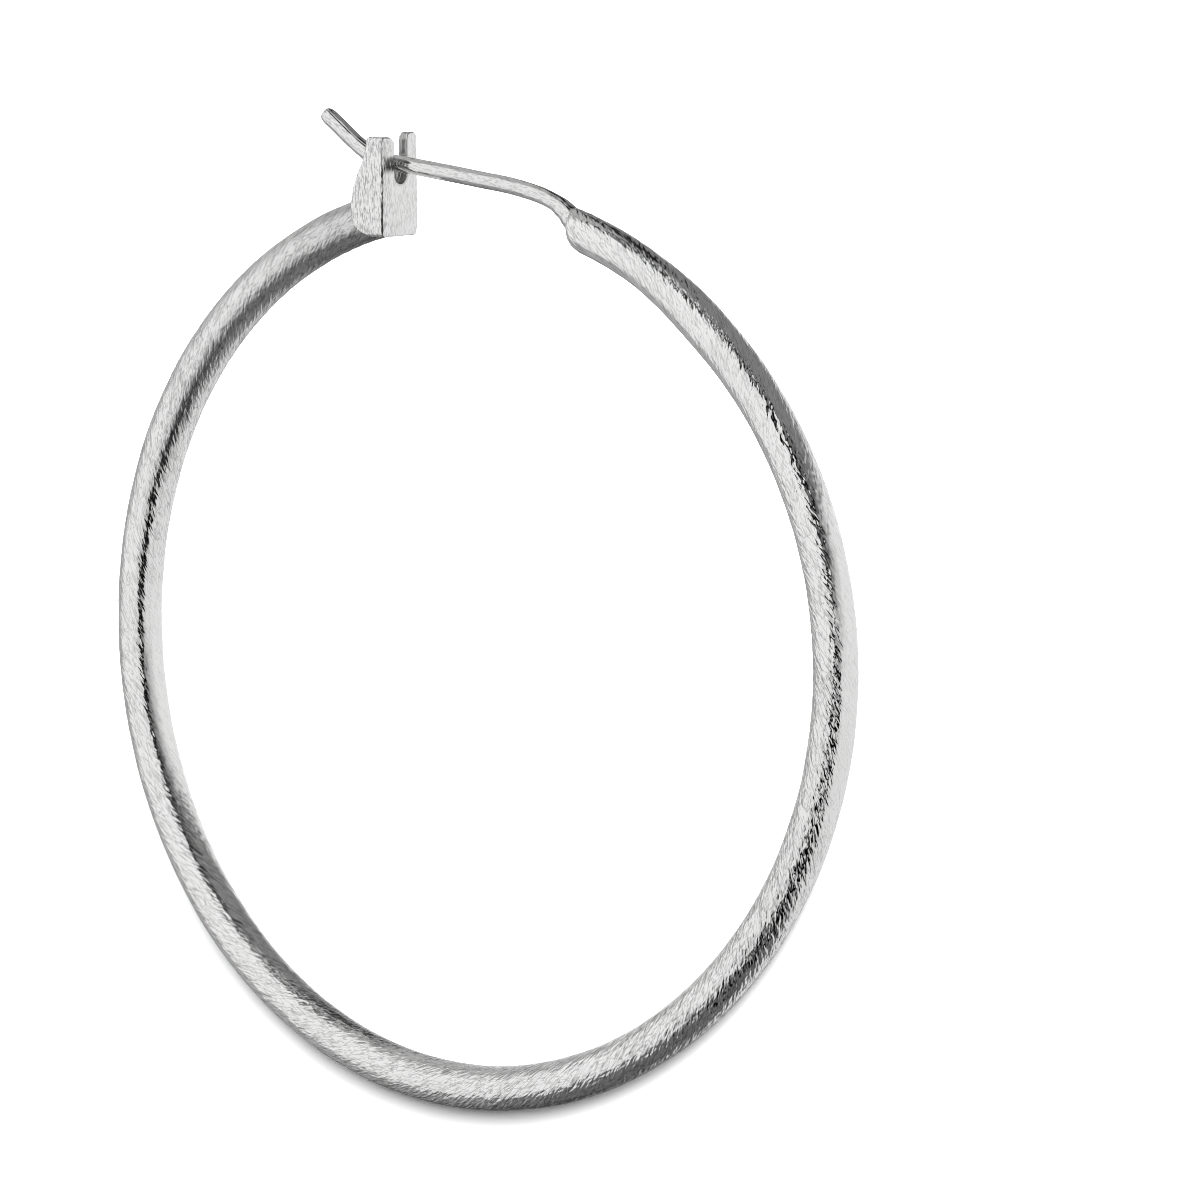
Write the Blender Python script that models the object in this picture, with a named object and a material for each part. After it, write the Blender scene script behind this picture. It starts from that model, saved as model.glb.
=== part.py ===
"""Hoop earring with a straight ear wire that springs into a slotted catch.

The hoop lies on its side. +Z is the hoop's own axis, +Y points from the middle
of the hoop to its opening, and +X points from the catch to the end that carries
the ear wire. The origin is on the floor, under the middle of the footprint.
Hoop, catch and ear wire are soldered together, so they end up as one body.
"""

import math

import bmesh
import bpy
from mathutils import Vector

MM = 0.001

# Hoop: a round wire bent to a ring that is open at the top
HOOP_OUTER_DIAMETER = 45.0 * MM
HOOP_WIRE_DIAMETER = 2.2 * MM
HOOP_OUT_OF_ROUND = 0.16 * MM
OUT_OF_ROUND_LOBES = 3
OUT_OF_ROUND_PEAK = math.radians(7)
HOOP_FRONT_ANGLE = math.radians(73.8)
HOOP_FRONT_DIAMETER = 1.96 * MM
HOOP_TAPER_START = 9.5 * MM
HOOP_TAPER_END = 4.0 * MM
HOOP_END_ROUNDING = 1.0 * MM

# Catch: an upright block on the hoop's back end, slotted from the top
CATCH_FACE_TO_MIDDLE = 4.78 * MM
CATCH_WIDTH = 2.78 * MM
CATCH_HEIGHT = 4.85 * MM
CATCH_DEPTH = 1.94 * MM
CATCH_EDGE_RADIUS = 0.1 * MM
CATCH_FOOT_DROP = 0.1 * MM
HOOP_TUCK_IN_CATCH = 0.1 * MM
SLOT_SIDE_CLEARANCE = 0.06 * MM
SLOT_DEPTH = 2.3 * MM
SLOT_OFF_CENTRE = -0.07 * MM
BACK_PRONG_DEPTH = 0.47 * MM
BACK_PRONG_RISE = 0.18 * MM

# Side outline of the catch, from the foot of its flat face round the back to
# the top: share of the depth behind the face, and share of the height
CATCH_OUTLINE = (
    (0.00, 0.00),
    (0.55, 0.035),
    (0.94, 0.12),
    (1.00, 0.31),
    (0.90, 0.55),
    (0.65, 0.70),
    (0.52, 0.86),
    (0.45, 1.00),
    (0.00, 1.00),
)
CATCH_CORNERS = (0, 7, 8)

# Ear wire: soldered to the hoop's front end, bowed over the gap, kinked tip
EAR_WIRE_DIAMETER = 0.82 * MM
EAR_WIRE_OVER_SLOT_FLOOR = 0.55 * MM
EAR_WIRE_BOW = 0.66 * MM
EAR_WIRE_FLARE_DIAMETER = 1.16 * MM
EAR_WIRE_ROOT = 0.9 * MM
TIP_LENGTH = 3.8 * MM
TIP_ANGLE = math.radians(34)
KINK_BEHIND_FACE = 1.6 * MM
KINK_LENGTH = 0.6 * MM

# Bends of the ear wire between its foot and the slot: share of that span,
# share of the bow, and share of the way from the flare to the plain wire
EAR_WIRE_BENDS = (
    (0.00, 0.00, 0.0),
    (0.06, 0.46, 0.6),
    (0.13, 0.82, 1.0),
    (0.29, 1.00, 1.0),
    (0.58, 0.66, 1.0),
)

# A wire's rounded end: share of its rounding length still to go, and share
# of the wire's diameter there
ROUNDED_END = (
    (1.00, 1.00),
    (0.60, 0.96),
    (0.30, 0.87),
    (0.10, 0.74),
    (0.00, 0.60),
)

HOOP_RADIUS = (HOOP_OUTER_DIAMETER - HOOP_WIRE_DIAMETER) / 2
SLOT_WIDTH = EAR_WIRE_DIAMETER + 2 * SLOT_SIDE_CLEARANCE

# How finely the forms are divided
HOOP_STATIONS = 96
HOOP_BEVEL_STEPS = 6
EAR_WIRE_BEVEL_STEPS = 4
EAR_WIRE_CURVE_STEPS = 5
CATCH_CURVE_STEPS = 3
SLOT_BOTTOM_SIDES = 24
WELD_DISTANCE = 0.001 * MM
SHARP_ANGLE = math.radians(35)


def clear_scene():
    """Removes whatever the file holds."""
    for thing in list(bpy.data.objects):
        bpy.data.objects.remove(thing, do_unlink=True)


def new_collection(name):
    collection = bpy.data.collections.new(name)
    bpy.context.scene.collection.children.link(collection)
    return collection


def silver(name, colour, roughness):
    """A Principled silver."""
    material = bpy.data.materials.new(name)
    material.use_nodes = True
    shader = material.node_tree.nodes["Principled BSDF"]
    shader.inputs["Base Color"].default_value = (*colour, 1.0)
    shader.inputs["Metallic"].default_value = 1.0
    shader.inputs["Roughness"].default_value = roughness
    return material


def hoop_centre_line(angle):
    """Point of the hoop's centre line, on a circle with three faint lobes."""
    lobe = math.cos(OUT_OF_ROUND_LOBES * (angle - OUT_OF_ROUND_PEAK))
    radius = HOOP_RADIUS + HOOP_OUT_OF_ROUND * lobe
    return Vector((radius * math.cos(angle), radius * math.sin(angle), 0.0))


def hoop_wire_diameter(to_go):
    """Diameter of the hoop's wire, a little less near its front end."""
    share = (HOOP_TAPER_START - to_go) / (HOOP_TAPER_START - HOOP_TAPER_END)
    share = min(max(share, 0.0), 1.0)
    smooth = share * share * (3 - 2 * share)
    return HOOP_WIRE_DIAMETER + (HOOP_FRONT_DIAMETER - HOOP_WIRE_DIAMETER) * smooth


def catch_foot_height():
    """Height of the catch's foot, just under the hoop's inner side."""
    angle = math.pi / 2 + math.asin(CATCH_FACE_TO_MIDDLE / HOOP_RADIUS)
    inner_radius = hoop_centre_line(angle).length - HOOP_WIRE_DIAMETER / 2
    return math.sqrt(inner_radius ** 2 - CATCH_FACE_TO_MIDDLE ** 2) - CATCH_FOOT_DROP


def slot_floor_height():
    return catch_foot_height() + CATCH_HEIGHT - SLOT_DEPTH


def wire_in_slot():
    """Middle of the ear wire where it passes the catch's face."""
    height = slot_floor_height() + EAR_WIRE_OVER_SLOT_FLOOR + EAR_WIRE_DIAMETER / 2
    return Vector((-CATCH_FACE_TO_MIDDLE, height, SLOT_OFF_CENTRE))


def tube(name, points, widths, bevel_steps, bezier):
    """Closed round wire along points; a width is a share of the first one's."""
    curve = bpy.data.curves.new(name, "CURVE")
    curve.dimensions = "3D"
    curve.bevel_depth = widths[0] / 2
    curve.bevel_resolution = bevel_steps
    curve.use_fill_caps = True
    curve.resolution_u = EAR_WIRE_CURVE_STEPS
    spline = curve.splines.new("BEZIER" if bezier else "POLY")
    knots = spline.bezier_points if bezier else spline.points
    knots.add(len(points) - 1)
    for knot, point, width in zip(knots, points, widths):
        knot.co = point if bezier else (*point, 1.0)
        knot.radius = width / widths[0]
        if bezier:
            knot.handle_left_type = "AUTO"
            knot.handle_right_type = "AUTO"
    return solid_from_curve(name, curve)


def solid_from_curve(name, curve):
    """Turns a curve into a mesh object whose caps are welded on."""
    drawn = bpy.data.objects.new(name + "_curve", curve)
    bpy.context.scene.collection.objects.link(drawn)
    evaluated = drawn.evaluated_get(bpy.context.evaluated_depsgraph_get())
    mesh = bpy.data.meshes.new_from_object(evaluated)
    mesh.name = name
    shape = bmesh.new()
    shape.from_mesh(mesh)
    bmesh.ops.remove_doubles(shape, verts=shape.verts, dist=WELD_DISTANCE)
    bmesh.ops.recalc_face_normals(shape, faces=shape.faces)
    shape.to_mesh(mesh)
    shape.free()
    solid = bpy.data.objects.new(name, mesh)
    solid.matrix_world = drawn.matrix_world
    bpy.data.objects.remove(drawn, do_unlink=True)
    return solid


def make_hoop():
    """The open ring, from the catch the long way round to the front end.

    Where the wire gets thinner its outer side stays on the ring, so the
    centre line moves out by what the radius loses.
    """
    face_angle = math.asin((CATCH_FACE_TO_MIDDLE + HOOP_TUCK_IN_CATCH)
                           / (HOOP_RADIUS - HOOP_WIRE_DIAMETER / 2))
    start = math.pi / 2 + face_angle
    end = HOOP_FRONT_ANGLE + 2 * math.pi
    length = (end - start) * HOOP_RADIUS - HOOP_END_ROUNDING
    steps = [(length * (1 - step / HOOP_STATIONS) + HOOP_END_ROUNDING, 1.0)
             for step in range(HOOP_STATIONS)]
    steps += [(HOOP_END_ROUNDING * to_go, share) for to_go, share in ROUNDED_END]
    points = []
    widths = []
    for to_go, share in steps:
        centre = hoop_centre_line(end - to_go / HOOP_RADIUS)
        width = hoop_wire_diameter(to_go) * share
        points.append(centre + centre.normalized() * (HOOP_WIRE_DIAMETER - width) / 2)
        widths.append(width)
    return tube("hoop_earring", points, widths, HOOP_BEVEL_STEPS, bezier=False)


def make_ear_wire():
    """The thin wire: flared foot in the hoop, bow, slot, kink and round tip."""
    slot = wire_in_slot()
    out = hoop_centre_line(HOOP_FRONT_ANGLE).normalized()
    foot_radius = hoop_centre_line(HOOP_FRONT_ANGLE).length
    foot = out * (foot_radius + (HOOP_WIRE_DIAMETER - EAR_WIRE_FLARE_DIAMETER) / 2)
    along_hoop = Vector((out.y, -out.x, 0.0))
    points = [foot + along_hoop * EAR_WIRE_ROOT]
    widths = [EAR_WIRE_FLARE_DIAMETER]
    span = slot - foot
    above = Vector((span.y, -span.x, 0.0)).normalized()
    for share, bow, narrowing in EAR_WIRE_BENDS:
        points.append(foot + span * share + above * EAR_WIRE_BOW * bow)
        widths.append(EAR_WIRE_FLARE_DIAMETER
                      + (EAR_WIRE_DIAMETER - EAR_WIRE_FLARE_DIAMETER) * narrowing)
    run = (slot - points[-1]).normalized()
    kink = slot + run * KINK_BEHIND_FACE
    tip_way = Vector((-math.cos(TIP_ANGLE), math.sin(TIP_ANGLE), 0.0))
    points += [slot, kink - run * KINK_LENGTH / 2, kink + tip_way * KINK_LENGTH / 2]
    widths += [EAR_WIRE_DIAMETER] * 3
    for to_go, share in ROUNDED_END:
        points.append(kink + tip_way * (TIP_LENGTH - EAR_WIRE_DIAMETER / 2 * to_go))
        widths.append(EAR_WIRE_DIAMETER * share)
    return tube("ear_wire", points, widths, EAR_WIRE_BEVEL_STEPS, bezier=True)


def make_catch():
    """The catch's block: its side outline in X and Y, with rounded rims."""
    curve = bpy.data.curves.new("catch", "CURVE")
    curve.dimensions = "2D"
    curve.fill_mode = "BOTH"
    curve.extrude = CATCH_WIDTH / 2 - CATCH_EDGE_RADIUS
    curve.bevel_depth = CATCH_EDGE_RADIUS
    curve.bevel_resolution = 1
    curve.offset = -CATCH_EDGE_RADIUS
    curve.resolution_u = CATCH_CURVE_STEPS
    spline = curve.splines.new("BEZIER")
    spline.use_cyclic_u = True
    spline.bezier_points.add(len(CATCH_OUTLINE) - 1)
    foot = catch_foot_height()
    height = CATCH_HEIGHT + BACK_PRONG_RISE
    for index, (back, up) in enumerate(CATCH_OUTLINE):
        knot = spline.bezier_points[index]
        knot.co = (-CATCH_FACE_TO_MIDDLE - CATCH_DEPTH * back, foot + height * up, 0.0)
        knot.handle_left_type = "VECTOR" if index in CATCH_CORNERS else "AUTO"
        knot.handle_right_type = knot.handle_left_type
    return solid_from_curve("catch", curve)


def box(name, low, high):
    """Mesh box between two opposite corners."""
    mesh = bpy.data.meshes.new(name)
    shape = bmesh.new()
    bmesh.ops.create_cube(shape, size=1.0)
    low = Vector(low)
    high = Vector(high)
    size = high - low
    for vertex in shape.verts:
        vertex.co = (low + high) / 2 + Vector(a * b for a, b in zip(vertex.co, size))
    shape.to_mesh(mesh)
    shape.free()
    return bpy.data.objects.new(name, mesh)


def make_prong_cutters():
    """Two boxes that lower the front prong and thin the one behind the wire."""
    face = -CATCH_FACE_TO_MIDDLE
    top = catch_foot_height() + CATCH_HEIGHT
    past = CATCH_DEPTH
    over_front = box("over_front_prong",
                     (face - CATCH_DEPTH - past, top, SLOT_OFF_CENTRE),
                     (face + past, top + past, CATCH_WIDTH))
    behind_back = box("behind_back_prong",
                      (face - CATCH_DEPTH - past, wire_in_slot().y, -CATCH_WIDTH),
                      (face - BACK_PRONG_DEPTH, top + past, SLOT_OFF_CENTRE))
    return over_front, behind_back


def make_slot_cutter():
    """A round-bottomed slot, open at the top, along X through the catch."""
    length = 4 * CATCH_DEPTH
    middle = Vector((-CATCH_FACE_TO_MIDDLE - CATCH_DEPTH / 2,
                     slot_floor_height() + SLOT_WIDTH / 2, SLOT_OFF_CENTRE))
    cutter = box("slot_cutter",
                 middle - Vector((length / 2, 0.0, SLOT_WIDTH / 2)),
                 middle + Vector((length / 2, CATCH_HEIGHT, SLOT_WIDTH / 2)))
    bpy.ops.mesh.primitive_cylinder_add(vertices=SLOT_BOTTOM_SIDES, radius=SLOT_WIDTH / 2,
                                        depth=length)
    bottom = bpy.context.object
    bottom.name = "slot_bottom"
    bottom.location = middle
    bottom.rotation_euler = (0.0, math.pi / 2, 0.0)
    return cutter, bottom


def combine(target, other, operation):
    """Adds a Boolean that keeps the other form's own material."""
    boolean = target.modifiers.new(operation.lower() + "_" + other.name, "BOOLEAN")
    boolean.operation = operation
    boolean.object = other
    boolean.solver = "EXACT"
    boolean.material_mode = "TRANSFER"


def put_away(thing, collection, parent):
    """Keeps a form that only shapes the earring as a wire outline."""
    for old in list(thing.users_collection):
        old.objects.unlink(thing)
    collection.objects.link(thing)
    thing.hide_render = True
    thing.display_type = "WIRE"
    thing.parent = parent


def set_on_floor(assembly, earring):
    """Moves the assembly until the origin is under the middle of its box."""
    bpy.context.view_layer.update()
    evaluated = earring.evaluated_get(bpy.context.evaluated_depsgraph_get())
    corners = [evaluated.matrix_world @ Vector(corner) for corner in evaluated.bound_box]
    low = [min(corner[axis] for corner in corners) for axis in range(3)]
    high = [max(corner[axis] for corner in corners) for axis in range(3)]
    assembly.location = (-(low[0] + high[0]) / 2, -(low[1] + high[1]) / 2, -low[2])
    bpy.context.view_layer.update()


def main():
    clear_scene()
    parts = new_collection("hoop_earring")
    shapers = new_collection("shapers")
    assembly = bpy.data.objects.new("hoop_centre", None)
    parts.objects.link(assembly)

    brushed = silver("brushed_silver", (0.78, 0.78, 0.77), 0.42)
    polished = silver("polished_silver", (0.84, 0.84, 0.83), 0.22)

    earring = make_hoop()
    catch = make_catch()
    over_front, behind_back = make_prong_cutters()
    slot, slot_bottom = make_slot_cutter()
    ear_wire = make_ear_wire()
    for thing in (earring, catch, over_front, behind_back, slot, slot_bottom):
        thing.data.materials.append(brushed)
    ear_wire.data.materials.append(polished)

    combine(slot, slot_bottom, "UNION")
    for cutter in (over_front, behind_back, slot):
        combine(catch, cutter, "DIFFERENCE")
    combine(earring, catch, "UNION")
    combine(earring, ear_wire, "UNION")
    for thing in (catch, over_front, behind_back, slot, slot_bottom, ear_wire):
        put_away(thing, shapers, assembly)
    parts.objects.link(earring)
    earring.parent = assembly
    set_on_floor(assembly, earring)

    for thing in (earring, catch, ear_wire):
        thing.data.shade_smooth()
        thing.data.set_sharp_from_angle(angle=SHARP_ANGLE)


main()
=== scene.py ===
"""A silver hoop earring lying on its side: brushed hoop, slotted catch and polished ear wire."""

import math

import bmesh
import bpy
import numpy as np
from mathutils import Matrix, Vector


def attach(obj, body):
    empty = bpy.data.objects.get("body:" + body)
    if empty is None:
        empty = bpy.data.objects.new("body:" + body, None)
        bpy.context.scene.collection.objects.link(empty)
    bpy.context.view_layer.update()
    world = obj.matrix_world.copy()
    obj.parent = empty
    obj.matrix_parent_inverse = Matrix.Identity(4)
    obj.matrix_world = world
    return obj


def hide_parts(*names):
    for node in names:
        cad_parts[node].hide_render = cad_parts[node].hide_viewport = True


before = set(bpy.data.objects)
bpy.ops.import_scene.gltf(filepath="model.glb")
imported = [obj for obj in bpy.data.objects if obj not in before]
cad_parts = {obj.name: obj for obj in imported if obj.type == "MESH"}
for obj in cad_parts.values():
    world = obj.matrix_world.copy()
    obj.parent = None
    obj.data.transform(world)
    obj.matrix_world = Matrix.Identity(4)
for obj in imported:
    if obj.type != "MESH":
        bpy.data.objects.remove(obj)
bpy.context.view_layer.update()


# Hoop
# A round silver wire bent to a ring that is open at the top, a little thinner
# towards its front end. It is scratch-brushed by hand, so short strokes run
# slantwise round it and its outline is very slightly uneven.
MM = 0.001
HOOP_MIDDLE = np.array((-0.1485, -1.5847, 1.39)) * MM
HOOP_RADIUS = 21.4 * MM
HOOP_OUT_OF_ROUND = 0.16 * MM
OUT_OF_ROUND_LOBES = 3
OUT_OF_ROUND_PEAK = math.radians(7)
HOOP_WIRE = 2.2 * MM
HOOP_FRONT_WIRE = 1.96 * MM
HOOP_TAPER_START = 9.5 * MM
HOOP_TAPER_END = 4.0 * MM
HOOP_BACK_ANGLE = math.radians(103.9)
HOOP_FRONT_ANGLE = math.radians(74.35 + 360)
HOOP_END_ROUNDING = 1.0 * MM
HOOP_STATIONS = 1240
HOOP_AROUND = 72
END_TO_GO = np.array((0.85, 0.7, 0.6, 0.45, 0.3, 0.2, 0.1, 0.04, 0.0))
END_WIDTH = np.array((0.985, 0.97, 0.96, 0.92, 0.87, 0.81, 0.74, 0.68, 0.60))
HOOP_RELIEF = 0.003 * MM
RELIEF_LENGTH, RELIEF_WIDTH = 1.6 * MM, 0.42 * MM
HOOP_WAVES = 0.006 * MM
WAVES_LENGTH, WAVES_WIDTH = 3.0 * MM, 2.4 * MM
# The waves' height is taken off twice, so that the wire stays within its size
WAVES_SUNK = 2.0
RELIEF_SEED = 11
# The strokes' angle to the wire, which changes near the front end, and the second strokes' angle
# to the first
SLANT, END_SLANT, CROSS_SLANT = np.radians((-30.0, 20.0, 28.0))
SLANT_CHANGES, SLANT_CHANGED = np.radians((375.0, 400.0))
# Stretch along the stroke, strokes per metre, and height of the bump
STROKES = (2.8, 6500.0, 0.050 * MM)
CROSS_STROKES = (2.8, 4500.0, 0.034 * MM)
# Stretch, marks per metre, detail and waver of the scratches, and for either direction of them the
# vectors they follow, the noise's level at their middle, its change to their edge, and their
# tone, a painted shade in their grooves
SCRATCHES = (5.0, 5500.0, 1.0, 0.6)
SCRATCH_LEVELS = (("strokes", 0.49, 0.06, 0.58), ("cross_strokes", 0.47, 0.05, 0.66))
# The hoop's own tone, and its darker tone near the catch: painted shade and reflection of the
# catch
HOOP_TONE, CATCH_SHADE_TONE = 0.96, 0.76
SILVER = (0.93, 0.93, 0.925)


def ring_line(angle):
    """Centre line of the hoop: a circle whose radius swells by three faint lobes."""
    lobes = np.cos(OUT_OF_ROUND_LOBES * (angle - OUT_OF_ROUND_PEAK))
    radius = HOOP_RADIUS + HOOP_OUT_OF_ROUND * lobes
    return np.stack((radius * np.cos(angle), radius * np.sin(angle), 0 * angle), axis=-1)


def unit(vectors):
    """Each vector divided by its own length."""
    return vectors / np.linalg.norm(vectors, axis=-1, keepdims=True)


def carried_circle(line, side, radii, lift):
    """A circle carried along a flat line: the point at turn v of a station is the line's
    point plus (radius + lift) times (side * cos v + Z * sin v)."""
    turns = np.linspace(0, 2 * np.pi, lift.shape[1], endpoint=False)[None, :, None]
    way = side[:, None, :] * np.cos(turns) + np.array((0.0, 0.0, 1.0)) * np.sin(turns)
    return line[:, None, :] + way * (radii[:, None] + lift)[:, :, None]


def long_waves(shape, size, along, across, seed):
    """Relief of long narrow waves over a sheet that closes on itself: white noise whose
    frequencies are weighted by a bell over the waves' length and a narrower bell round their
    width, made to vary by 1."""
    noise = np.random.default_rng(seed).standard_normal(shape)
    step_along = np.abs(np.fft.fftfreq(shape[0], size[0] / shape[0]))[:, None]
    step_across = np.abs(np.fft.fftfreq(shape[1], size[1] / shape[1]))[None, :]
    weight = np.exp(-(step_along * along) ** 2) * np.exp(-(step_across * across - 1) ** 2 * 3)
    waves = np.fft.ifft2(np.fft.fft2(noise) * weight).real
    return waves / waves.std()


def turned_along(sheet, turn):
    """The sheet with each row moved round by its own angle, by turning the phases of the
    row's waves."""
    waves = np.fft.fft(sheet, axis=1)
    order = np.fft.fftfreq(sheet.shape[1], 1 / sheet.shape[1])[None, :]
    return np.fft.ifft(waves * np.exp(1j * order * turn[:, None]), axis=1).real


def tube_mesh(name, rings, back_pole, front_pole):
    """Closed skin over a grid of rings: quads between neighbouring rings, each ring closed
    on itself, and a fan of triangles to a pole at either end."""
    stations, around = rings.shape[:2]
    points = np.concatenate((rings.reshape(-1, 3), [back_pole], [front_pole]))
    row, column = np.meshgrid(np.arange(stations - 1), np.arange(around), indexing="ij")
    following = (column + 1) % around
    quads = np.stack((row * around + column, (row + 1) * around + column,
                      (row + 1) * around + following, row * around + following), axis=-1)
    first = np.arange(around)
    second = (first + 1) % around
    last = (stations - 1) * around
    back_fan = np.stack((np.full(around, len(points) - 2), first, second), axis=-1)
    front_fan = np.stack((np.full(around, len(points) - 1), last + second, last + first), axis=-1)
    mesh = bpy.data.meshes.new(name)
    faces = quads.reshape(-1, 4).tolist() + back_fan.tolist() + front_fan.tolist()
    mesh.from_pydata(points.tolist(), [], faces)
    mesh.update()
    mesh.shade_smooth()
    return mesh


def keep_vectors(mesh, name, vectors):
    """Stores one vector per vertex on the mesh, for its material to read."""
    attribute = mesh.attributes.new(name, "FLOAT_VECTOR", "POINT")
    attribute.data.foreach_set("vector", vectors.astype(np.float32).ravel())


def keep_numbers(mesh, name, numbers):
    """Stores one number per vertex on the mesh, for its material to read."""
    attribute = mesh.attributes.new(name, "FLOAT", "POINT")
    attribute.data.foreach_set("value", numbers.astype(np.float32).ravel())


def straight_wire(lengths, radii, around, turn):
    """Where each point would be if the wire were straight and twisted by turn: its length
    along the wire, and radius * cos and radius * sin of its own turn plus the twist."""
    turns = np.linspace(0, 2 * np.pi, around, endpoint=False)[None, :] + turn[:, None]
    along = np.broadcast_to(lengths[:, None], turns.shape)
    rings = np.stack((along, radii[:, None] * np.cos(turns), radii[:, None] * np.sin(turns)), -1)
    poles = np.array(((lengths[0], 0.0, 0.0), (lengths[-1], 0.0, 0.0)))
    return np.concatenate((rings.reshape(-1, 3), poles))


def piece(name, mesh):
    """A shown piece that stands for the earring's solid and moves with it."""
    thing = bpy.data.objects.new(name, mesh)
    bpy.context.scene.collection.objects.link(thing)
    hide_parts("hoop_earring")
    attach(thing, "root")


def silver(name, colour, roughness):
    """A bare Principled silver, with its node tree and shader."""
    material = bpy.data.materials.new(name)
    material.use_nodes = True
    shader = material.node_tree.nodes["Principled BSDF"]
    shader.inputs["Base Color"].default_value = (*colour, 1.0)
    shader.inputs["Metallic"].default_value = 1.0
    shader.inputs["Roughness"].default_value = roughness
    return material, material.node_tree, shader


def number(tree, kind, *values):
    """A Math node over links or plain numbers; returns its output."""
    node = tree.nodes.new("ShaderNodeMath")
    node.operation = kind
    for socket, value in zip(node.inputs, values):
        if isinstance(value, (int, float)):
            socket.default_value = value
        else:
            tree.links.new(value, socket)
    return node.outputs[0]


def stretched_noise(tree, source, stretch, scale, detail, waver):
    """Noise over a source that is stretched along X."""
    mapping = tree.nodes.new("ShaderNodeMapping")
    mapping.inputs["Scale"].default_value = (1 / stretch, 1.0, 1.0)
    tree.links.new(source, mapping.inputs["Vector"])
    noise = tree.nodes.new("ShaderNodeTexNoise")
    noise.inputs["Scale"].default_value = scale
    noise.inputs["Detail"].default_value = detail
    noise.inputs["Distortion"].default_value = waver
    tree.links.new(mapping.outputs["Vector"], noise.inputs["Vector"])
    return noise.outputs["Fac"]


def strokes(tree, source, stretch, scale, height, share=None, below=None):
    """Brush strokes: wavering noise over a source that is stretched along X, as a bump of
    the given height, or of a share of it that varies, over the bump below it."""
    bump = tree.nodes.new("ShaderNodeBump")
    bump.inputs["Distance"].default_value = height
    level = stretched_noise(tree, source, stretch, scale, 0.0, 0.5)
    tree.links.new(level, bump.inputs["Height"])
    if share is not None:
        tree.links.new(share, bump.inputs["Strength"])
    if below is not None:
        tree.links.new(below, bump.inputs["Normal"])
    return bump.outputs["Normal"]


def toned(tree, amount, stops):
    """A grey that runs between (place, brightness) stops as an amount goes from 0 to 1."""
    tone = tree.nodes.new("ShaderNodeValToRGB")
    stop_list = tone.color_ramp.elements
    while len(stop_list) < len(stops):
        stop_list.new(0.5)
    for stop, (place, grey) in zip(stop_list, stops):
        stop.position = place
        stop.color = (grey, grey, grey * 0.995, 1.0)
    tree.links.new(amount, tone.inputs["Fac"])
    return tone.outputs["Color"]


def darkened(tree, colour, amount, dark):
    """A colour multiplied by a dark grey where the amount is 1."""
    mix = tree.nodes.new("ShaderNodeMix")
    mix.data_type = "RGBA"
    mix.blend_type = "MULTIPLY"
    colours = [socket for socket in mix.inputs if socket.type == "RGBA"]
    colours[1].default_value = (dark, dark, dark, 1.0)
    tree.links.new(colour, colours[0])
    tree.links.new(amount, mix.inputs["Factor"])
    return next(socket for socket in mix.outputs if socket.type == "RGBA")


def stored(tree, name, kind="Vector"):
    """The vector, or the number, that a mesh keeps under a name."""
    node = tree.nodes.new("ShaderNodeAttribute")
    node.attribute_name = name
    return node.outputs[kind]


length_of_hoop = (HOOP_FRONT_ANGLE - HOOP_BACK_ANGLE) * HOOP_RADIUS
even = np.linspace(length_of_hoop, HOOP_END_ROUNDING, HOOP_STATIONS)
to_go = np.concatenate((even, HOOP_END_ROUNDING * END_TO_GO))
end_share = np.concatenate((np.ones(HOOP_STATIONS), END_WIDTH))
taper = np.clip((HOOP_TAPER_START - to_go) / (HOOP_TAPER_START - HOOP_TAPER_END), 0, 1)
taper = taper * taper * (3 - 2 * taper)
hoop_width = (HOOP_WIRE + (HOOP_FRONT_WIRE - HOOP_WIRE) * taper) * end_share
hoop_angle = HOOP_FRONT_ANGLE - to_go / HOOP_RADIUS
outwards = unit(ring_line(hoop_angle))
hoop_line = HOOP_MIDDLE + ring_line(hoop_angle) + outwards * (HOOP_WIRE - hoop_width)[:, None] / 2
hoop_along = length_of_hoop - to_go

slant = np.interp(hoop_angle, (SLANT_CHANGES, SLANT_CHANGED), (SLANT, END_SLANT))
steps = np.diff(hoop_along, prepend=hoop_along[0])
stroke_turn = np.cumsum(np.tan(slant) * steps) / (HOOP_WIRE / 2)
cross_turn = np.cumsum(np.tan(slant + CROSS_SLANT) * steps) / (HOOP_WIRE / 2)
sheet_size = (length_of_hoop, math.pi * HOOP_WIRE)
sheet_shape = (len(to_go), HOOP_AROUND)
hammered = long_waves(sheet_shape, sheet_size, RELIEF_LENGTH, RELIEF_WIDTH, RELIEF_SEED)
hammered = turned_along(hammered, stroke_turn)
uneven = long_waves(sheet_shape, sheet_size, WAVES_LENGTH, WAVES_WIDTH, RELIEF_SEED + 1)
end_fade = np.clip(to_go / HOOP_END_ROUNDING, 0, 1)[:, None]
hoop_lift = (HOOP_RELIEF * hammered + HOOP_WAVES * (uneven - WAVES_SUNK)) * end_fade

hoop_rings = carried_circle(hoop_line, outwards, hoop_width / 2, hoop_lift)
hoop_mesh = tube_mesh("hoop", hoop_rings, hoop_line[0], hoop_line[-1])
for name, turn in (("strokes", stroke_turn), ("cross_strokes", cross_turn)):
    keep_vectors(hoop_mesh, name, straight_wire(hoop_along, hoop_width / 2, HOOP_AROUND, turn))

# Along the hoop, at these angles round it: how deep the brush bit, which is most at the lower
# right, and how strongly its scratches are darkened by painted shade in their grooves
BRUSHED_AT = np.radians((104, 113, 138, 154, 190, 208, 240, 290, 335, 370, 390, 405, 434))
BRUSHED_DEPTH = np.array((0.35, 0.60, 0.62, 0.40, 0.42, 0.62, 0.85, 0.85, 1.3, 1.1, 0.75, 0.5,
                          0.45))
SCRATCH_SHADE_AT = np.radians((104, 145, 175, 215, 260, 300, 360, 385, 434))
SCRATCH_SHADE = np.array((0.95, 0.95, 0.7, 0.65, 0.85, 1.0, 0.9, 0.65, 0.65))
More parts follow.
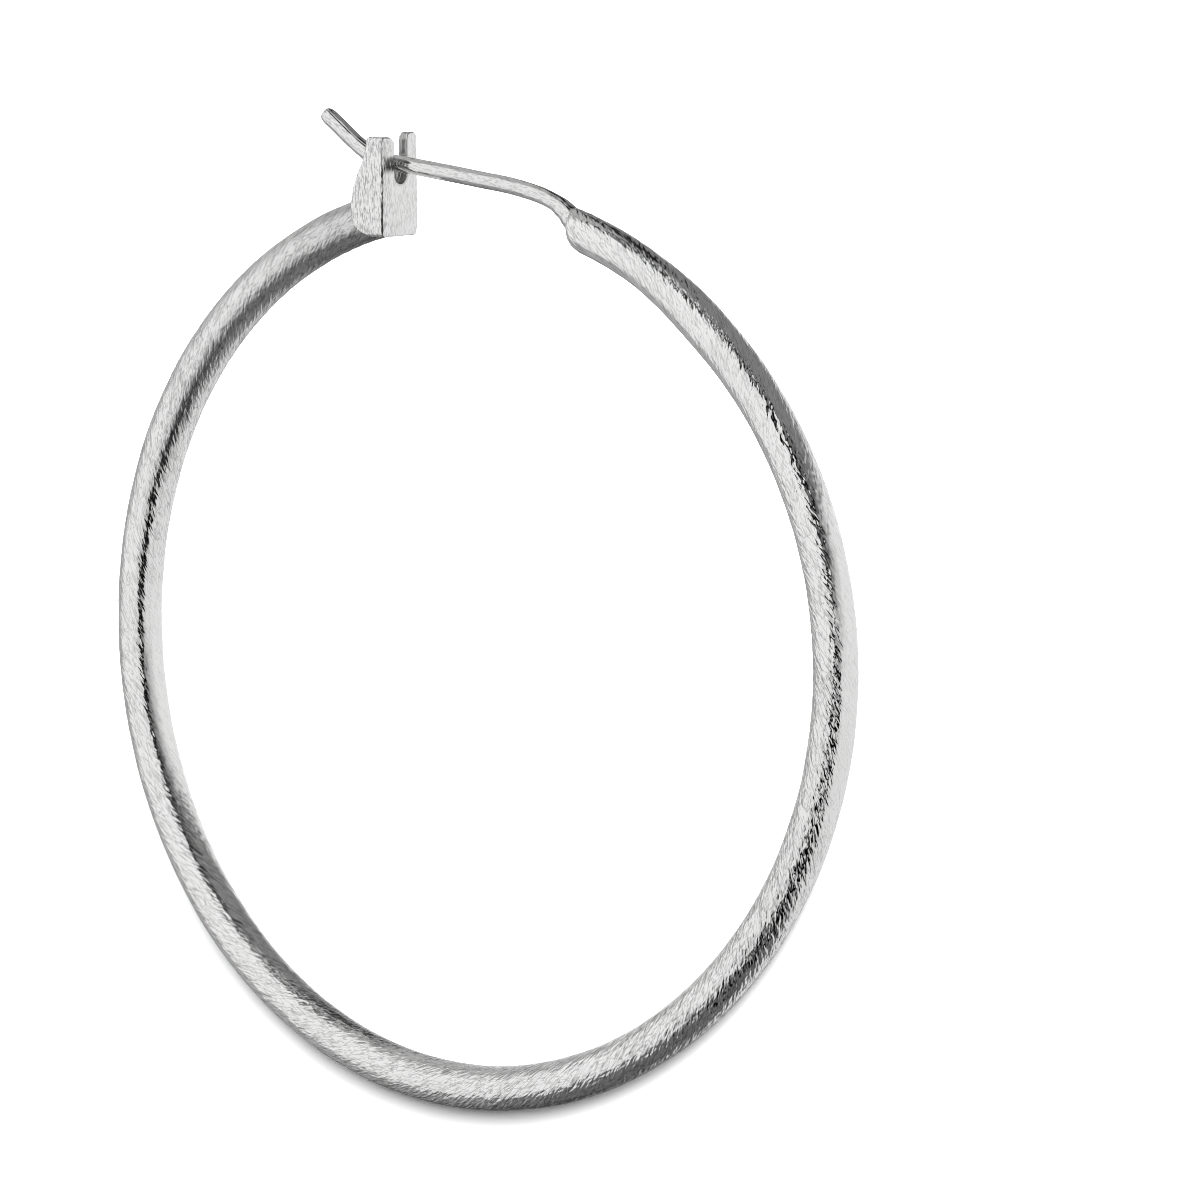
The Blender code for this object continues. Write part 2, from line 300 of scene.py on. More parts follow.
# How soft a satin it left, which is softest at the upper left
SATIN_AT = np.radians((104, 142, 163, 188, 205, 245, 272, 300, 360, 375, 390, 403, 434))
SATIN_ROUGHNESS = np.array((0.33, 0.33, 0.14, 0.10, 0.16, 0.20, 0.18, 0.07, 0.07, 0.11, 0.11, 0.08,
                            0.08))
# How much it is worn smoother again, on the outside at the right and on the inside at the left,
# and how far from the catch its colour is darkened, a painted shade and reflection of the catch
WORN_FROM, WORN_TO = 0.70, 0.86
WORN_AT = np.radians((168, 180, 196, 210, 300, 325, 348, 372, 392, 434))
WORN_OUTSIDE = np.array((0.0, 0.0, 0.0, 0.0, 0.0, 0.1, 0.75, 0.7, 0.1, 0.1))
WORN_INSIDE = np.array((0.0, 0.7, 0.7, 0.0, 0.0, 0.0, 0.0, 0.0, 0.0, 0.0))
CATCH_SHADE_REACH = 9.0 * MM
facing_out = np.cos(np.linspace(0, 2 * np.pi, HOOP_AROUND, endpoint=False))
unworn = 1.0
for side, wear in ((facing_out, WORN_OUTSIDE), (-facing_out, WORN_INSIDE)):
    worn = np.clip((side - WORN_FROM) / (WORN_TO - WORN_FROM), 0, 1)
    unworn = unworn - np.interp(hoop_angle, WORN_AT, wear)[:, None] * worn
depth_there = np.interp(hoop_angle, BRUSHED_AT, BRUSHED_DEPTH)[:, None] * unworn
scratch_shade_there = np.interp(hoop_angle, SCRATCH_SHADE_AT, SCRATCH_SHADE)[:, None] * unworn
all_round = np.ones((1, HOOP_AROUND))
satin_there = np.interp(hoop_angle, SATIN_AT, SATIN_ROUGHNESS)[:, None] * all_round
catch_shade_there = np.clip(1 - hoop_along / CATCH_SHADE_REACH, 0, 1)[:, None] * all_round
for name, amount in (("brushing", depth_there), ("satin", satin_there),
                     ("scratch_shade", scratch_shade_there), ("near_catch_shade", catch_shade_there)):
    keep_numbers(hoop_mesh, name, np.concatenate((amount.ravel(), amount[[0, -1], 0])))

brushed, tree, shader = silver("brushed_silver", SILVER, 0.08)
depth = stored(tree, "brushing", "Fac")
grain = strokes(tree, stored(tree, "strokes"), *STROKES, depth)
grain = strokes(tree, stored(tree, "cross_strokes"), *CROSS_STROKES, depth, grain)
# Darker near the catch: painted shade and reflection of the catch
skin = toned(tree, stored(tree, "near_catch_shade", "Fac"), ((0.0, HOOP_TONE), (1.0, CATCH_SHADE_TONE)))
# Each scratch's line is darkened: painted shade in its groove
for way, middle, spread, dark in SCRATCH_LEVELS:
    level = stretched_noise(tree, stored(tree, way), *SCRATCHES)
    on_line = toned(tree, level, ((middle - spread, 0.0), (middle, 1.0), (middle + spread, 0.0)))
    in_scratch_shade = number(tree, "MULTIPLY", on_line, stored(tree, "scratch_shade", "Fac"))
    skin = darkened(tree, skin, in_scratch_shade, dark)
tree.links.new(skin, shader.inputs["Base Color"])
tree.links.new(grain, shader.inputs["Normal"])
tree.links.new(stored(tree, "satin", "Fac"), shader.inputs["Roughness"])
hoop_mesh.materials.append(brushed)
piece("hoop", hoop_mesh)


# Catch
# A block soldered on the hoop's back end, filed to a pear shape from the side. A
# slot cut down from its top leaves two prongs, and the one behind the wire is thinner.
CATCH_FACE = -4.78 * MM
CATCH_FOOT = 19.67 * MM
CATCH_WIDTH = 2.78 * MM
CATCH_HEIGHT = 4.85 * MM
CATCH_DEPTH = 2.02 * MM
BACK_PRONG_RISE = 0.18 * MM
BACK_PRONG_DEPTH = 0.55 * MM
SLOT_WIDTH = 0.94 * MM
SLOT_DEPTH = 2.3 * MM
SLOT_OFF_CENTRE = -0.07 * MM
WIRE_OVER_SLOT_FLOOR = 0.96 * MM
CATCH_RIM = 0.12 * MM
SLOT_RIM = 0.06 * MM
SIDE_STEPS, CORNER_STEPS = 9, 4
# The rounding of the foot's corners: share of the half width, and how much taller it is
FOOT_ROUNDING = 0.12
FOOT_ROUNDING_RISE = 1.5
# Reach, waver, breaks and ends of a painted shade line along the front edge
EDGE_LINE_REACH = 0.085 * MM
EDGE_LINE_WAVER = 0.14 * MM
EDGE_LINE_BREAKS = 2400.0
EDGE_LINE_ENDS = np.array((0.3, -0.2)) * MM
FRONT_PRONG_ROUNDING = np.array((0.16, 0.42)) * MM
BACK_PRONG_ROUNDING = np.array((0.38, 0.30)) * MM
FILED_HOLLOWS = 0.02 * MM
# Steps down the front prong, round the slot's bottom, up to the wire and on to the top
FRONT_STEPS, ARC_STEPS, LOW_STEPS, HIGH_STEPS = 14, 17, 4, 10
# Stretch, strokes per metre and height of the file's strokes, and stretch, marks per metre,
# detail and waver of its marks
FILING = (5.0, 6500.0, 0.03 * MM)
FILE_MARKS = (4.5, 16500.0, 3.0, 0.5)
FILE_MARK_STOPS = ((0.36, 1.0), (0.55, 0.0))
FILE_MARK_TONE = 0.45
LEAST_MARKED = 0.4
# The block's own tone, the slot walls' painted shade, and the front edge's painted shade line
BARE_TONE, SLOT_SHADE_TONE, EDGE_SHADE_TONE = 0.985, 0.5, 0.12
# Share of the height, and share of the depth behind the face there
PEAR_HEIGHT = np.array((0.0, 0.02, 0.05, 0.09, 0.14, 0.2, 0.31, 0.43, 0.55, 0.63, 0.70, 0.78,
                        0.86, 1.0))
PEAR_DEPTH = np.array((0.42, 0.58, 0.77, 0.90, 0.96, 0.99, 1.0, 0.96, 0.87, 0.77, 0.67, 0.60,
                       0.55, 0.50))


def rounded(distance, radius):
    """How far a rounded edge has dropped at a distance from its side: the gap between a
    square corner and a quarter circle."""
    inwards = np.clip(1 - distance / radius, 0, 1)
    return radius * (1 - np.sqrt(1 - inwards ** 2))


def filed_uneven(points):
    """Shallow hollows left by the file, 0 to 1: the sum of three slow waves."""
    x, y, z = np.moveaxis(points / MM, -1, 0)
    waves = (np.sin(2.3 * y + 1.1 * z) + np.sin(4.1 * y - 2.6 * z + 1.9 * x)
             + np.sin(3.2 * x + 5.3 * z + y))
    return 0.5 + waves / 6


slot_floor = CATCH_FOOT + CATCH_HEIGHT - SLOT_DEPTH
slot_round = slot_floor + SLOT_WIDTH / 2
wire_height = slot_floor + WIRE_OVER_SLOT_FLOOR
front_top = CATCH_FOOT + CATCH_HEIGHT
back_top = front_top + BACK_PRONG_RISE
half = CATCH_WIDTH / 2
slot_front = SLOT_OFF_CENTRE + SLOT_WIDTH / 2
slot_back = SLOT_OFF_CENTRE - SLOT_WIDTH / 2
bottom_turn = np.linspace(0, np.pi, ARC_STEPS)
slot_arc = np.stack((SLOT_OFF_CENTRE + SLOT_WIDTH / 2 * np.cos(bottom_turn),
                     slot_round - SLOT_WIDTH / 2 * np.sin(bottom_turn)), axis=-1)
# The block's outline and the slot's, walked together from the front prong's top round to the
# back prong's: the same height on both along the prongs
front_heights = np.linspace(front_top - CATCH_RIM, slot_round, FRONT_STEPS + 1)[:-1]
back_heights = np.concatenate((np.linspace(slot_round, wire_height, LOW_STEPS + 1)[1:],
                               np.linspace(wire_height, back_top - CATCH_RIM, HIGH_STEPS)))
foot_turn = np.linspace(0, np.pi / 2, 5)
foot_side = np.stack((1 - FOOT_ROUNDING * (1 - np.cos(foot_turn)),
                      FOOT_ROUNDING * FOOT_ROUNDING_RISE * (1 - np.sin(foot_turn))), axis=-1)
foot_half = np.concatenate(([(1.0, 1.0), (1.0, 0.75), (1.0, 0.5)], foot_side))
foot_walk = np.concatenate((foot_half, [(0.0, 0.0)], foot_half[::-1] * (-1, 1)))
outer_foot = np.stack((half * foot_walk[:, 0],
                       CATCH_FOOT + (slot_round - CATCH_FOOT) * foot_walk[:, 1]), axis=-1)


def upright(aside, heights):
    """A straight run at one distance aside, through the heights."""
    return np.stack((np.full(len(heights), aside), heights), axis=-1)


outer = np.concatenate((upright(half, front_heights), outer_foot, upright(-half, back_heights)))
inner = np.concatenate((upright(slot_front, front_heights), slot_arc,
                        upright(slot_back, back_heights)))
is_thin = np.arange(len(outer)) >= FRONT_STEPS + ARC_STEPS + LOW_STEPS

# The rings that round each prong's top: how far they rise, draw in and shrink to the middle
top_turn = np.radians((25, 50, 75, 90, 90, 90, 90))
top_rise = CATCH_RIM * np.sin(top_turn)
top_inset = CATCH_RIM * (1 - np.cos(top_turn))
top_share = np.array((1.0, 1.0, 1.0, 1.0, 0.75, 0.5, 0.25))


def oblong(side, corner_side):
    """Once round an oblong section with rounded corners: for each point, its distance from
    the outer side as a length plus a share of the width, its distance behind the face as a
    length plus a share of the depth, and whether it lies on the slot's wall."""
    t = (np.arange(side) + 0.5) / side
    turn = np.linspace(0, np.pi / 2, corner_side)
    o, i = CATCH_RIM, SLOT_RIM
    rise, fall = np.sin(turn), np.cos(turn)
    nought, one = 0 * t, 0 * t + 1
    flat, full = 0 * turn, 0 * turn + 1
    runs = ((o * t - i * (1 - t), 1 - t, nought, nought, nought),
            (o * (1 - rise), flat, o * (1 - fall), flat, flat),
            (nought, nought, o * (1 - 2 * t), t, nought),
            (o * (1 - fall), flat, -o * (1 - rise), full, flat),
            (o * (1 - t) - i * t, t, nought, one, nought),
            (-i * (1 - rise), full, -i * (1 - fall), full, 0.5 * rise),
            (nought, one, i * (2 * t - 1), 1 - t, one),
            (-i * (1 - fall), full, i * (1 - rise), flat, 0.5 * full))
    return [np.concatenate(column) for column in zip(*runs)]


def catch_rings():
    """The block as a bar of oblong section bent to a U: at each place along the U the
    section runs from the block's outline to the slot's, and from the face back to the depth
    that the pear shape has at that height. At either end it draws in to a rounded top."""
    ends = len(top_rise)
    rows = np.clip(np.arange(-ends, len(outer) + ends), 0, len(outer) - 1)
    nought = np.zeros(len(outer))
    rise = np.concatenate((top_rise[::-1], nought, top_rise))[:, None]
    inset = np.concatenate((top_inset[::-1], nought, top_inset))[:, None]
    keep = np.concatenate((top_share[::-1], nought + 1, top_share))[:, None]
    long, share_wide, deep, share_deep, on_slot = oblong(SIDE_STEPS, CORNER_STEPS)
    wide = np.linalg.norm(outer - inner, axis=-1)[rows][:, None]
    across = (long + share_wide * wide) * (1 - 2 * inset / wide) + inset
    across = wide / 2 + (across - wide / 2) * keep
    sheet = outer[rows][:, None] + (inner - outer)[rows][:, None] * (across / wide)[..., None]
    is_front = sheet[..., 0] > SLOT_OFF_CENTRE
    outside, inside = np.where(is_front, FRONT_PRONG_ROUNDING[:, None, None],
                               BACK_PRONG_ROUNDING[:, None, None])
    drop = rounded(across, outside) + rounded(wide - across, inside)
    top = np.where(is_front, front_top, back_top)
    up_prong = np.clip((sheet[..., 1] - slot_round) / (top - CATCH_RIM - slot_round), 0, 1)
    height = sheet[..., 1] + rise - drop * up_prong
    share = (height - CATCH_FOOT) / (CATCH_HEIGHT + BACK_PRONG_RISE)
    depth = CATCH_DEPTH * np.interp(share, PEAR_HEIGHT, PEAR_DEPTH)
    depth = np.where(is_thin[rows][:, None], np.minimum(depth, BACK_PRONG_DEPTH), depth)
    behind = (deep + share_deep * depth) * (1 - 2 * inset / depth) + inset
    behind = depth / 2 + (behind - depth / 2) * keep
    rings = np.stack((CATCH_FACE - behind, height, sheet[..., 0]), axis=-1)
    hollow = FILED_HOLLOWS * filed_uneven(rings)
    rings[..., 0] -= hollow * (1 - behind / depth)
    rings[..., 2] -= np.sign(rings[..., 2]) * hollow * (1 - across / wide)
    return rings + HOOP_MIDDLE, np.broadcast_to(on_slot, height.shape)


rings, on_slot = catch_rings()
block = tube_mesh("catch", rings, rings[0].mean(axis=0), rings[-1].mean(axis=0))
# The slot's walls are painted darker: painted shade inside the slot
keep_numbers(block, "slot_shade", np.concatenate((on_slot.ravel(), [0.0, 0.0])))
# The file's marks show most on the upper side and fade across the face
across_face = (rings[..., 2] - HOOP_MIDDLE[2]) / half
coarse = np.clip(across_face, LEAST_MARKED, 1.0)
keep_numbers(block, "coarse", np.concatenate((coarse.ravel(), [1.0, 0.5])))
shape = bmesh.new()
shape.from_mesh(block)
bmesh.ops.recalc_face_normals(shape, faces=shape.faces)
shape.to_mesh(block)
shape.free()

filed, tree, shader = silver("filed_silver", SILVER, 0.22)
place = tree.nodes.new("ShaderNodeTexCoord")
turned = tree.nodes.new("ShaderNodeMapping")
turned.inputs["Rotation"].default_value = (0.0, 0.0, math.radians(90))
tree.links.new(place.outputs["Object"], turned.inputs["Vector"])
tree.links.new(strokes(tree, turned.outputs["Vector"], *FILING), shader.inputs["Normal"])
marks = toned(tree, stretched_noise(tree, turned.outputs["Vector"], *FILE_MARKS), FILE_MARK_STOPS)
in_mark = number(tree, "MULTIPLY", marks, stored(tree, "coarse", "Fac"))
# Darker on the slot's walls: painted shade inside the slot
bare = toned(tree, stored(tree, "slot_shade", "Fac"), ((0.0, BARE_TONE), (1.0, SLOT_SHADE_TONE)))
marked = darkened(tree, bare, in_mark, FILE_MARK_TONE)

# A dark line of painted shade along the front edge, broken along its length
beside = tree.nodes.new("ShaderNodeVectorMath")
beside.operation = "MULTIPLY"
beside.inputs[1].default_value = (1.0, 0.0, 1.0)
tree.links.new(place.outputs["Object"], beside.inputs[0])
edge = tree.nodes.new("ShaderNodeVectorMath")
edge.operation = "DISTANCE"
edge.inputs[1].default_value = (HOOP_MIDDLE[0] + CATCH_FACE, 0.0, HOOP_MIDDLE[2] + half)
tree.links.new(beside.outputs["Vector"], edge.inputs[0])
breaks = tree.nodes.new("ShaderNodeTexNoise")
breaks.inputs["Scale"].default_value = EDGE_LINE_BREAKS
breaks.inputs["Detail"].default_value = 2.0
tree.links.new(place.outputs["Object"], breaks.inputs["Vector"])
reach = number(tree, "MULTIPLY_ADD", breaks.outputs["Fac"], EDGE_LINE_WAVER,
               EDGE_LINE_REACH - EDGE_LINE_WAVER / 2)
line = number(tree, "LESS_THAN", edge.outputs["Value"], reach)
height = tree.nodes.new("ShaderNodeSeparateXYZ")
tree.links.new(place.outputs["Object"], height.inputs["Vector"])
low_down = tree.nodes.new("ShaderNodeMapRange")
low_down.inputs["From Min"].default_value = HOOP_MIDDLE[1] + wire_height + EDGE_LINE_ENDS[0]
low_down.inputs["From Max"].default_value = HOOP_MIDDLE[1] + wire_height + EDGE_LINE_ENDS[1]
tree.links.new(height.outputs["Y"], low_down.inputs["Value"])
on_edge = number(tree, "MULTIPLY", line, low_down.outputs["Result"])
tree.links.new(darkened(tree, marked, on_edge, EDGE_SHADE_TONE), shader.inputs["Base Color"])
block.materials.append(filed)
piece("catch", block)


# Ear wire
# A thin polished wire with a flared foot soldered to the hoop's front end. It bows over the
# gap, lies in the catch's slot and ends in a tip that is bent up and rounded.
EAR_WIRE = 0.82 * MM
FLARE = 1.16 * MM
EAR_WIRE_ROOT = 0.9 * MM
EAR_WIRE_BOW = 0.66 * MM
TIP_LENGTH = 3.8 * MM
TIP_ANGLE = math.radians(34)
KINK_BEHIND_FACE = 1.6 * MM
KINK_LENGTH = 0.6 * MM
BENDS = np.array(((0.00, 0.00, 0.0), (0.06, 0.46, 0.6), (0.13, 0.82, 1.0),
                  (0.29, 1.00, 1.0), (0.58, 0.66, 1.0)))
TIP_TO_GO = np.array((1.0, 0.6, 0.3, 0.1, 0.0))
TIP_WIDTH = np.array((1.0, 0.96, 0.87, 0.74, 0.60))
EAR_WIRE_AROUND = 48
STEPS_PER_ARC = 22
HANDLE = 0.390464
# Stretch, strokes per metre and height of the drawing's strokes, and stretch, marks per metre,
# detail and waver of the rubbed marks
DRAWING = (5.0, 7000.0, 0.010 * MM)
RUBBED = (4.0, 13000.0, 2.0, 0.3)
RUBBED_STOPS = ((0.36, 0.68), (0.52, 0.89))


def smooth_line(knots, values):
    """A chain of cubic arcs through the knots. A knot's handles lie along the sum of the unit
    directions to and from it, each a set share of its own chord long."""
    ends = np.concatenate((2 * knots[:1] - knots[1:2], knots, 2 * knots[-1:] - knots[-2:-1]))
    chords = np.diff(ends, axis=0)
    lengths = np.linalg.norm(chords, axis=1, keepdims=True)
    ways = unit(chords[1:] / lengths[1:] + chords[:-1] / lengths[:-1])
    start, end = knots[:-1], knots[1:]
    after = start + ways[:-1] * lengths[1:-1] * HANDLE
    before = end - ways[1:] * lengths[1:-1] * HANDLE
    t = np.linspace(0, 1, STEPS_PER_ARC, endpoint=False)[None, :, None]
    arcs = (start[:, None] * (1 - t) ** 3 + 3 * after[:, None] * t * (1 - t) ** 2
            + 3 * before[:, None] * t ** 2 * (1 - t) + end[:, None] * t ** 3)
    ease = (3 * t ** 2 - 2 * t ** 3)[..., 0]
    widths = values[:-1, None] * (1 - ease) + values[1:, None] * ease
    return (np.concatenate((arcs.reshape(-1, 3), knots[-1:])),
            np.concatenate((widths.ravel(), values[-1:])))


slot_point = np.array((CATCH_FACE, wire_height, SLOT_OFF_CENTRE))
foot_line = ring_line(np.array([HOOP_FRONT_ANGLE]))[0]
out = unit(foot_line)
foot = foot_line + out * (HOOP_WIRE - FLARE) / 2
hoop_way = np.array((out[1], -out[0], 0.0))
span = slot_point - foot
above = unit(np.array((span[1], -span[0], 0.0)))
bends = foot + span * BENDS[:, :1] + above * EAR_WIRE_BOW * BENDS[:, 1:2]
run = unit(slot_point - bends[-1])
kink = slot_point + run * KINK_BEHIND_FACE
tip_way = np.array((-math.cos(TIP_ANGLE), math.sin(TIP_ANGLE), 0.0))
tip = kink + tip_way * (TIP_LENGTH - EAR_WIRE / 2 * TIP_TO_GO)[:, None]
knots = np.concatenate(([foot + hoop_way * EAR_WIRE_ROOT], bends, [slot_point],
                        [kink - run * KINK_LENGTH / 2], [kink + tip_way * KINK_LENGTH / 2], tip))
widths = np.concatenate(([FLARE], FLARE + (EAR_WIRE - FLARE) * BENDS[:, 2],
                         [EAR_WIRE] * 3, EAR_WIRE * TIP_WIDTH))
wire_line, wire_width = smooth_line(knots, widths)
wire_way = unit(np.gradient(wire_line, axis=0))
wire_side = np.stack((wire_way[:, 1], -wire_way[:, 0], 0 * wire_way[:, 0]), axis=-1)
wire_steps = np.linalg.norm(np.diff(wire_line, axis=0), axis=1)
wire_along = np.concatenate(([0.0], np.cumsum(wire_steps)))
flat = np.zeros((len(wire_line), EAR_WIRE_AROUND))
wire_line = HOOP_MIDDLE + wire_line
wire_rings = carried_circle(wire_line, unit(wire_side), wire_width / 2, flat)
wire_mesh = tube_mesh("ear_wire", wire_rings, wire_line[0], wire_line[-1])
keep_vectors(wire_mesh, "strokes",
             straight_wire(wire_along, wire_width / 2, EAR_WIRE_AROUND, 0 * wire_along))

polished, tree, shader = silver("polished_silver", (0.9, 0.9, 0.895), 0.1)
tree.links.new(strokes(tree, stored(tree, "strokes"), *DRAWING), shader.inputs["Normal"])
rubbed = stretched_noise(tree, stored(tree, "strokes"), *RUBBED)
tree.links.new(toned(tree, rubbed, RUBBED_STOPS), shader.inputs["Base Color"])
wire_mesh.materials.append(polished)
piece("ear_wire", wire_mesh)


# Floor and light
# A plain near-white floor in a white studio with one bright wall on either side, a dark gap
# between them where the camera stands, and greyer light from above and below the picture.
CAMERA_RIGHT = Vector((0.78429153, 0.0, -0.62039245))
CAMERA_UP = Vector((-0.06638841, 0.99425791, -0.08392731))
CAMERA_BACK = Vector((0.6168301, 0.10701035, 0.77978806))
FLOOR_SIZE = 4.0
FLOOR_TONE = 0.9
BACKDROP = 0.92
# Light from everywhere, and how much it grows between these two elevations
DIM, DIM_RISE, DIM_RISES = 0.13, 0.08, (-45, 20)
# Middle and half size in degrees of azimuth and elevation, edge, strength, power in corners
SOFTBOXES = (((-58, 8), (60, 56), 0.13, 0.43),
             ((-98, 26), (98, 74), 0.20, 0.23),
             ((96, -14), (80, 44), 0.20, 0.58, 2.8),
             ((178, 14), (26, 15), 0.5, 0.45),
             ((-182, 14), (26, 15), 0.5, 0.45))
# Left, right, low and high edge in degrees, and strength, of the dark gaps between the softboxes
CAMERA_SIDE_GAPS = (((-6, -4), (13, 8), (-30, -14), (72, 50), 0.99),
                    ((-16, -13), (-3, -6), (38, 52), (89, 82), 0.93),
                    ((-6, 2), (75, 12), (-14, 4), (46, 24), 0.60),
                    ((-10, -7), (18, 14), (-78, -66), (-4, -22), 0.995))
FAR_SIDE_GAP = ((1, 4), (14, 11), (48, 58), (89, 86), 0.97)
# Dark ovals low down on the far side, given as the softboxes are
DARK_OVALS = (((182, -30), (26, 26), 0.3, 0.6), ((-178, -30), (14, 26), 0.3, 0.6))
# A bright crack beside the upper gap, given as the gaps are
CRACK = ((-5, -3), (3, 1), (42, 50), (88, 78), 0.5)
# Energy, and spread and lean in degrees, of the floor's own lamps
SOFT_DOME = (0.6, 150, 10)
SOFT_KEY = (9.5, 46, 24)

floor_mesh = bpy.data.meshes.new("floor")
far = FLOOR_SIZE / 2
floor_mesh.from_pydata([(-far, -far, 0.0), (far, -far, 0.0), (far, far, 0.0), (-far, far, 0.0)],
                       [], [(0, 1, 2, 3)])
floor = bpy.data.objects.new("floor", floor_mesh)
bpy.context.scene.collection.objects.link(floor)
floor_paint = bpy.data.materials.new("floor_paint")
floor_paint.use_nodes = True
paint = floor_paint.node_tree.nodes["Principled BSDF"]
paint.inputs["Base Color"].default_value = (FLOOR_TONE, FLOOR_TONE, FLOOR_TONE, 1.0)
paint.inputs["Roughness"].default_value = 1.0
paint.inputs["Specular IOR Level"].default_value = 0.0
floor_mesh.materials.append(floor_paint)
floor.visible_glossy = False
floor.visible_shadow = False

world = bpy.data.worlds.new("studio")
bpy.context.scene.world = world
world.use_nodes = True
sky = world.node_tree
sky.nodes.clear()


def along_axis(direction, axis):
    """How far a direction points along an axis."""
    node = sky.nodes.new("ShaderNodeVectorMath")
    node.operation = "DOT_PRODUCT"
    sky.links.new(direction, node.inputs[0])
    node.inputs[1].default_value = axis
    return node.outputs["Value"]


def ramp(value, start, end):
    """0 before start and 1 after end, with a smooth step between."""
    node = sky.nodes.new("ShaderNodeMapRange")
    node.interpolation_type = "SMOOTHSTEP"
    sky.links.new(value, node.inputs["Value"])
    if start < end:
        limits = (start, end, 0.0, 1.0)
    else:
        limits = (end, start, 1.0, 0.0)
    for socket, limit in zip(("From Min", "From Max", "To Min", "To Max"), limits):
        node.inputs[socket].default_value = limit
    return node.outputs["Result"]


def softbox(middle, half, edge, strength, corners=2.0):
    """Light of a softbox: its strength inside an oval round the middle, in azimuth and
    elevation, fading out over edge, as a share of its half width and half height. The oval
    is squarer the higher the power in corners."""
    across = number(sky, "DIVIDE", number(sky, "SUBTRACT", azimuth, middle[0]), half[0])
    upwards = number(sky, "DIVIDE", number(sky, "SUBTRACT", elevation, middle[1]), half[1])
    away = number(sky, "ADD", number(sky, "POWER", number(sky, "ABSOLUTE", across), corners),
                  number(sky, "POWER", number(sky, "ABSOLUTE", upwards), corners))
    inside = ramp(number(sky, "POWER", away, 1 / corners), 1 + edge, 1 - edge)
    return number(sky, "MULTIPLY", inside, strength)


def shade(left, right, low, high, strength):
    """Darkness between two angles aside of the camera's upright plane and two elevations,
    each given as where the darkness starts and where it is full."""
    sideways = number(sky, "MULTIPLY", ramp(aside, *left), ramp(aside, *right))
    upwards = number(sky, "MULTIPLY", ramp(elevation, *low), ramp(elevation, *high))
    return number(sky, "MULTIPLY", number(sky, "MULTIPLY", sideways, upwards), strength)


def total(lights):
    """The sum of several lights."""
    result = lights[0]
    for each in lights[1:]:
        result = number(sky, "ADD", result, each)
    return result


direction = sky.nodes.new("ShaderNodeTexCoord").outputs["Generated"]
to_right = along_axis(direction, CAMERA_RIGHT)
to_up = along_axis(direction, CAMERA_UP)
to_back = along_axis(direction, CAMERA_BACK)
azimuth = number(sky, "DEGREES", number(sky, "ARCTAN2", to_right, to_back))
elevation = number(sky, "DEGREES", number(sky, "ARCSINE", to_up))
aside = number(sky, "DEGREES", number(sky, "ARCSINE", to_right))
camera_side = number(sky, "GREATER_THAN", to_back, 0.0)
far_side = number(sky, "SUBTRACT", 1.0, camera_side)

dim = number(sky, "ADD", number(sky, "MULTIPLY", ramp(elevation, *DIM_RISES), DIM_RISE), DIM)
light = total([dim] + [softbox(*box) for box in SOFTBOXES])
gaps = [number(sky, "MULTIPLY", shade(*gap), camera_side) for gap in CAMERA_SIDE_GAPS]
gaps.append(number(sky, "MULTIPLY", shade(*FAR_SIDE_GAP), far_side))
gaps.append(total([softbox(*oval) for oval in DARK_OVALS]))
for gap in gaps:
    light = number(sky, "MULTIPLY", light, number(sky, "SUBTRACT", 1.0, gap))
light = number(sky, "ADD", light, number(sky, "MULTIPLY", shade(*CRACK), camera_side))
seen = sky.nodes.new("ShaderNodeLightPath").outputs["Is Camera Ray"]
backdrop = sky.nodes.new("ShaderNodeMix")
sky.links.new(seen, backdrop.inputs["Factor"])
sky.links.new(light, backdrop.inputs["A"])
backdrop.inputs["B"].default_value = BACKDROP
studio = sky.nodes.new("ShaderNodeBackground")
sky.links.new(backdrop.outputs["Result"], studio.inputs["Color"])
shown = sky.nodes.new("ShaderNodeOutputWorld")
sky.links.new(studio.outputs["Background"], shown.inputs["Surface"])


